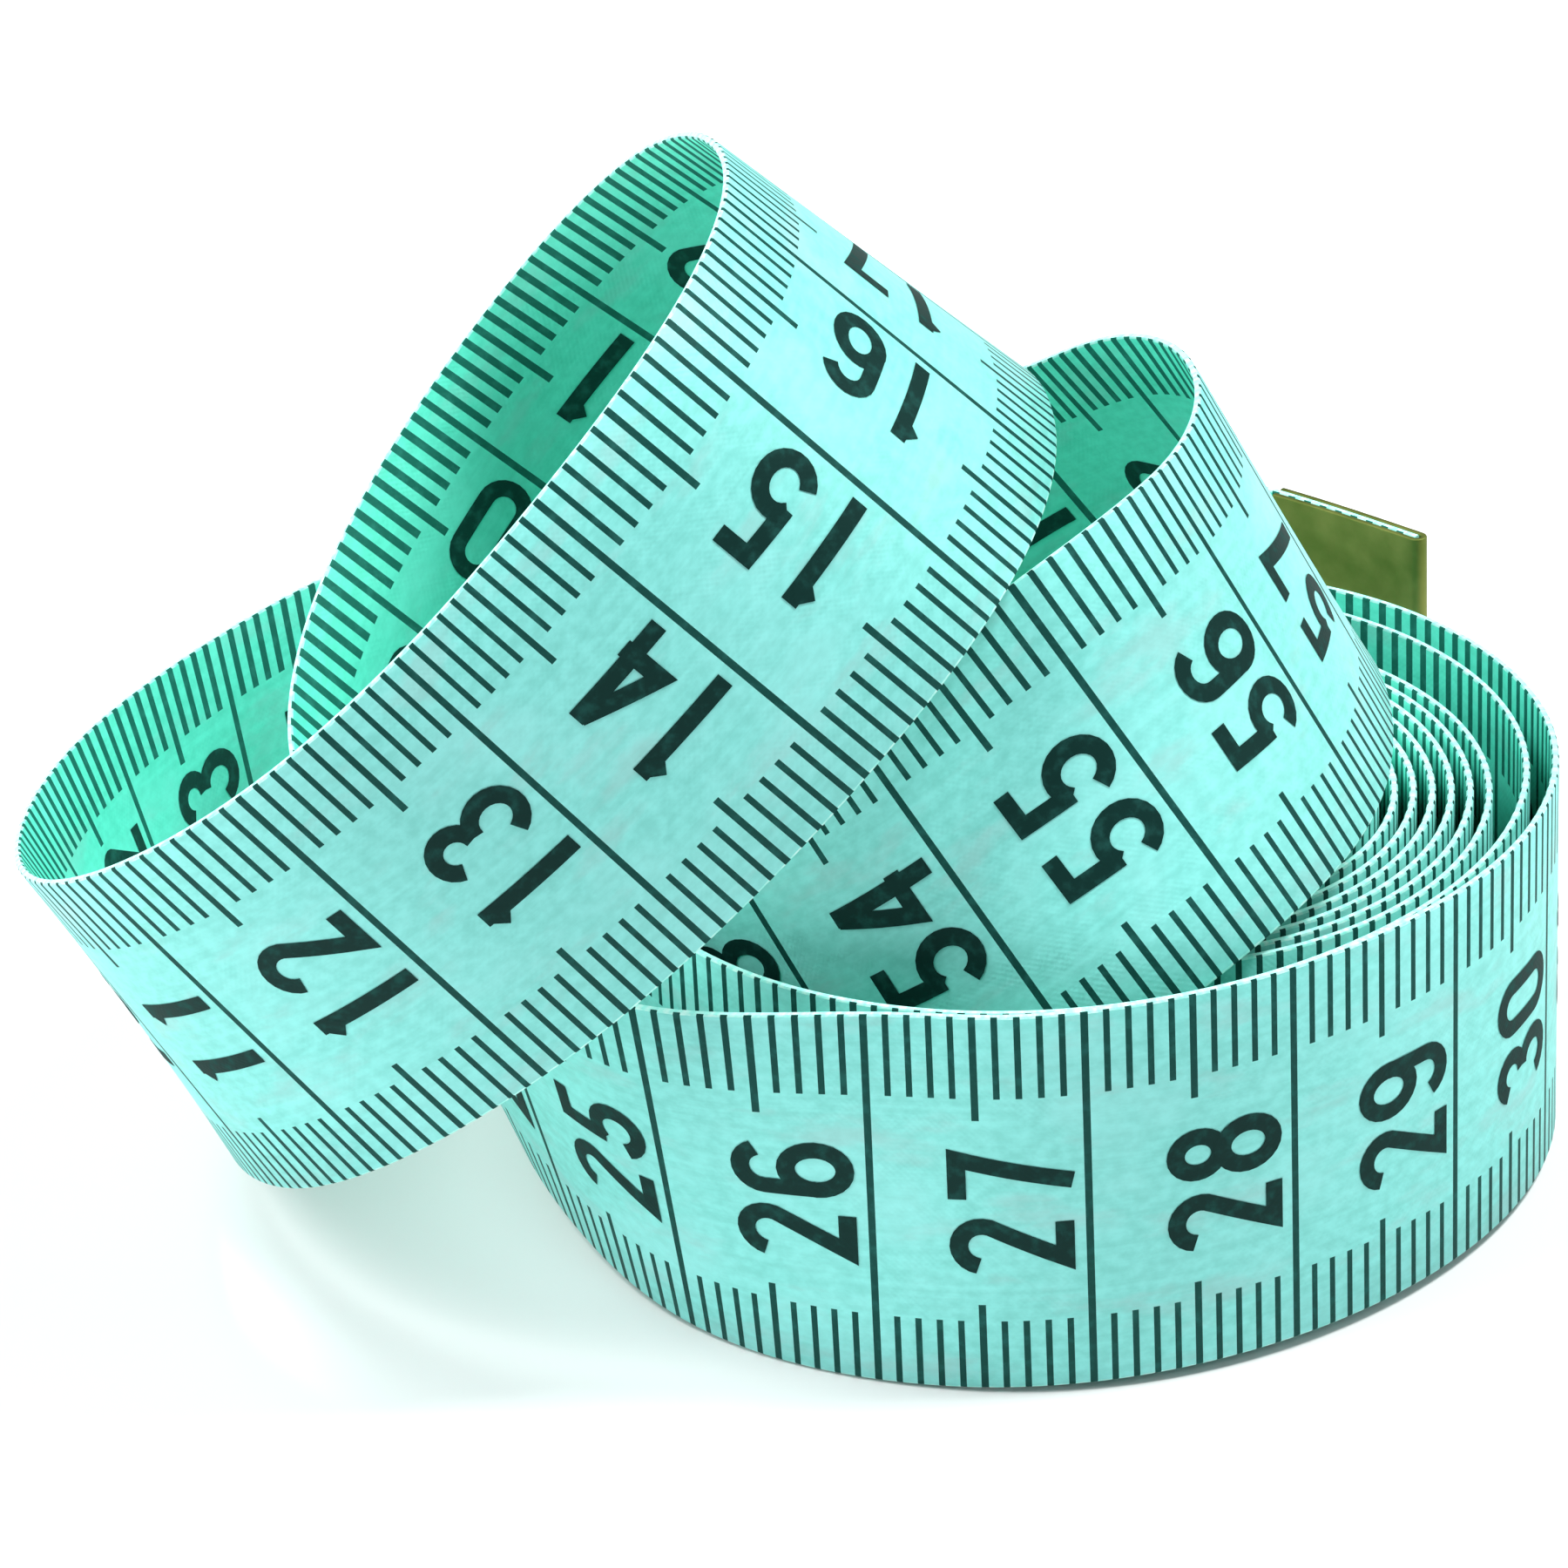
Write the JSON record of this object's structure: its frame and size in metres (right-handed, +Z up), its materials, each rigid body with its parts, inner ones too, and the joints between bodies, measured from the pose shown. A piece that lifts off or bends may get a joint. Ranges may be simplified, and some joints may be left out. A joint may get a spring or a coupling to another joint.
{
  "type": "cloth tape measure",
  "caption": "Flexible sewing tape measure, printed on both sides, loosely wound into a standing coil with two loops drawn up out of it and a folded metal tip on each end.",
  "frame": {"origin": "under the middle of the whole object, on the table that the coil stands on", "axes": "+Z up, out of the table; +X to the right and +Y to the back as the picture shows the object"},
  "size_m": [0.074, 0.0606, 0.0523],
  "materials": {
    "coated_cloth": "woven glass cloth with a soft mint plastic coating, printed dark green on both sides",
    "tip_metal": "folded sheet, dulled yellow"
  },
  "bodies": {
    "root": {"tape": "coated_cloth", "zero_end_tip": "tip_metal", "far_end_tip": "tip_metal"}
  },
  "joints": []
}
